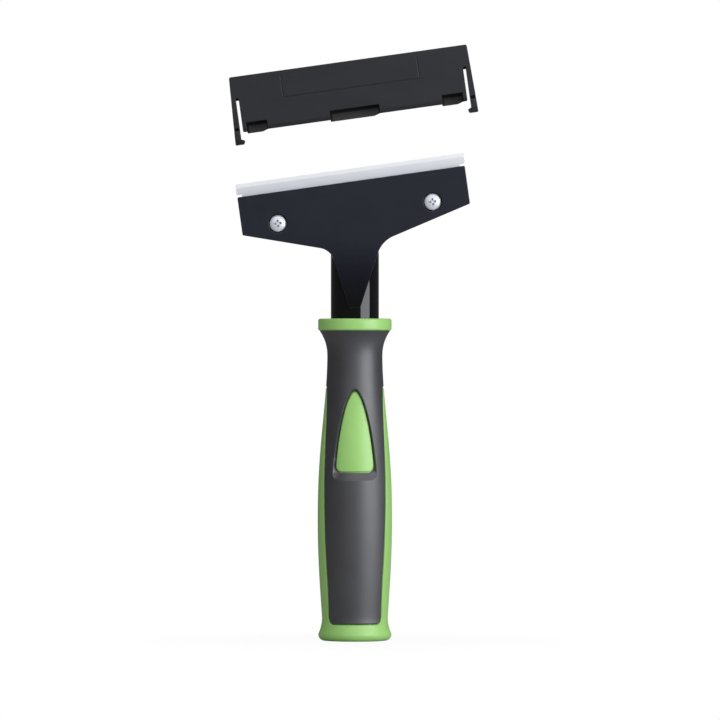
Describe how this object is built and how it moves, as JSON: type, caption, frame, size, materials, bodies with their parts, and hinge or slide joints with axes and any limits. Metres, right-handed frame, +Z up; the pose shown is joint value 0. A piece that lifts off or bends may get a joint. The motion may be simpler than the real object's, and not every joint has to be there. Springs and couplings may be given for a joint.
{
  "type": "ceramic hob scraper",
  "caption": "Hand scraper with a skewed, screw-clamped steel blade on a round neck, a two-colour soft grip with a thumb rest, and a slip-on blade guard.",
  "frame": {"origin": "centre of the butt's end face, at the mouth of the pole socket", "axes": "+Z up the handle towards the blade, +X to the right across the head as seen from the front, the front with the thumb rest faces -Y"},
  "size_m": [0.1081, 0.0324, 0.2588],
  "materials": {
    "green_plastic": "satin moulded polypropylene, light green",
    "soft_grip": "fine matt soft-touch rubber, dark grey",
    "head_plastic": "black glass-filled plastic, satin plate and glossy neck",
    "blade_steel": "ground strip steel with a bright bevel",
    "clamp_paint": "black coated sheet steel",
    "plain_steel": "bright zinc-plated steel",
    "screw_plating": "nickel plated",
    "guard_plastic": "satin black polypropylene"
  },
  "bodies": {
    "scraper": {"handle_core": "green_plastic", "grip_sleeve": "soft_grip", "retaining_pin": "plain_steel", "head_body": "head_plastic", "blade": "blade_steel"},
    "clamp": {"clamp_plate": "clamp_paint", "press_nut_left": "plain_steel", "press_nut_right": "plain_steel"},
    "left_screw": {"screw_left": "screw_plating"},
    "right_screw": {"screw_right": "screw_plating"},
    "guard": {"guard_shell": "guard_plastic"},
    "left_clip": {"guard_clip_left": "guard_plastic"},
    "right_clip": {"guard_clip_right": "guard_plastic"}
  },
  "joints": [
    {"name": "guard_slide", "type": "slide", "parent": "scraper", "child": "guard", "axis": [0, 0, -1], "range_m": [0, 0.0418], "deforming": ["guard_clip_left", "guard_clip_right"]},
    {"name": "left_clip_flex", "type": "hinge", "parent": "guard", "child": "left_clip", "pos_m": [-0.0529, -0.0081, 0.23514], "axis": [0, 1, 0], "range_deg": [0, 6], "stiffness_Nm_per_rad": 0.05},
    {"name": "right_clip_flex", "type": "hinge", "parent": "guard", "child": "right_clip", "pos_m": [0.04931, -0.0081, 0.24941], "axis": [0, -1, 0], "range_deg": [0, 6], "stiffness_Nm_per_rad": 0.05},
    {"name": "left_screw_turn", "type": "hinge", "parent": "scraper", "child": "left_screw", "pos_m": [-0.03335, -0.0094, 0.18133], "axis": [0, -1, 0], "range_deg": [0, 360]},
    {"name": "right_screw_turn", "type": "hinge", "parent": "scraper", "child": "right_screw", "pos_m": [0.0338, -0.0094, 0.1907], "axis": [0, -1, 0], "range_deg": [0, 360]},
    {"name": "clamp_release", "type": "slide", "parent": "scraper", "child": "clamp", "axis": [0, 1, 0], "range_m": [0, 0.0007]}
  ],
  "couplings": [
    {"joint": "left_screw_turn", "follows": "clamp_release", "rad_per_m": 8975.9},
    {"joint": "right_screw_turn", "follows": "clamp_release", "rad_per_m": 8975.9}
  ]
}
